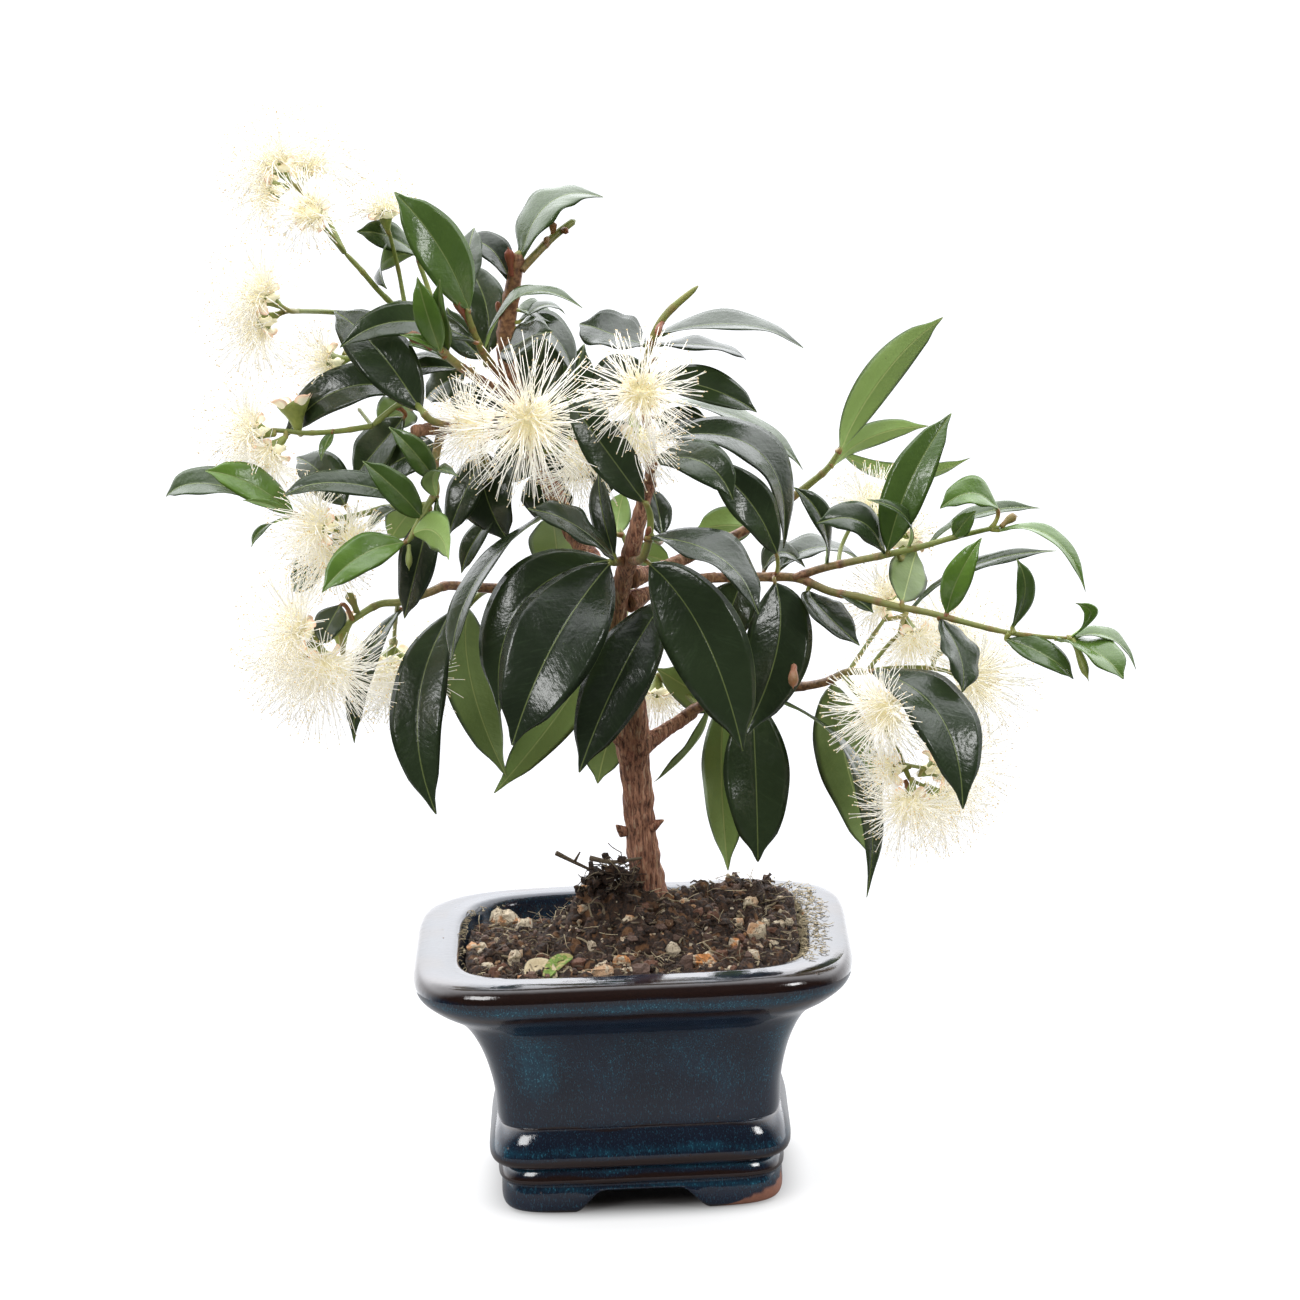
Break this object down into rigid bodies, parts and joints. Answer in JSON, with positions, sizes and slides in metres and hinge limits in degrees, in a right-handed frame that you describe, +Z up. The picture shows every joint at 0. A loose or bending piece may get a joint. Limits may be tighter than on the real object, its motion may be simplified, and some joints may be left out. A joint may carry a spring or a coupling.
{
  "type": "potted brush cherry bonsai",
  "caption": "Small brush cherry tree with glossy leaves and cream powder-puff flowers, standing in soil in a dark blue glazed square pot on corner feet.",
  "frame": {"origin": "middle of the whole outline seen from above, on the surface that the pot's feet stand on", "axes": "+Z up, the pictured front faces -Y, +X to the right as seen from the front"},
  "size_m": [0.2678, 0.124, 0.3112],
  "materials": {
    "glaze": "gloss dark blue glaze, brown where it is thin",
    "soil": "matt bonsai soil with peat, pumice and bark",
    "bark": "matt fissured bark",
    "leaf": "glossy green leaves and green twigs",
    "stamens": "matt cream stamens"
  },
  "bodies": {
    "root": {"pot": "glaze", "soil": "soil", "trunk": "bark", "twig_leader_top": "leaf", "twig_crown_left": "leaf", "twig_upper_left": "leaf", "twig_mid_left": "leaf", "twig_far_left": "leaf", "twig_low_left": "leaf", "twig_fork_left": "leaf", "twig_trunk_top": "leaf", "twig_trunk_back": "leaf", "twig_inner_left": "leaf", "twig_hidden_left": "leaf", "twig_centre": "leaf", "twig_trunk_crown": "leaf", "twig_right": "leaf", "twig_right_upper": "leaf", "twig_low_right": "leaf", "leaf_trunk_front": "leaf", "flower_upper_left_1": "stamens", "flower_upper_left_2": "stamens", "flower_upper_left_3": "stamens", "flower_upper_left_4": "stamens", "flower_upper_left_5": "stamens", "flower_upper_left_6": "stamens", "flower_upper_left_7": "stamens", "flower_upper_left_8": "stamens", "flower_mid_left_1": "stamens", "flower_mid_left_2": "stamens", "flower_far_left_1": "stamens", "flower_far_left_2": "stamens", "flower_far_left_3": "stamens", "flower_low_left_1": "stamens", "flower_low_left_2": "stamens", "flower_low_left_3": "stamens", "flower_low_left_4": "stamens", "flower_low_left_5": "stamens", "flower_centre_1": "stamens", "flower_centre_2": "stamens", "flower_centre_3": "stamens", "flower_trunk_crown_1": "stamens", "flower_trunk_crown_2": "stamens", "flower_right_1": "stamens", "flower_right_2": "stamens", "flower_low_right_1": "stamens", "flower_low_right_2": "stamens", "flower_low_right_3": "stamens", "flower_low_right_4": "stamens", "flower_low_right_5": "stamens", "flower_low_right_6": "stamens", "flower_low_right_7": "stamens", "flower_low_right_8": "stamens", "flower_low_right_9": "stamens", "flower_low_right_10": "stamens"}
  },
  "joints": []
}
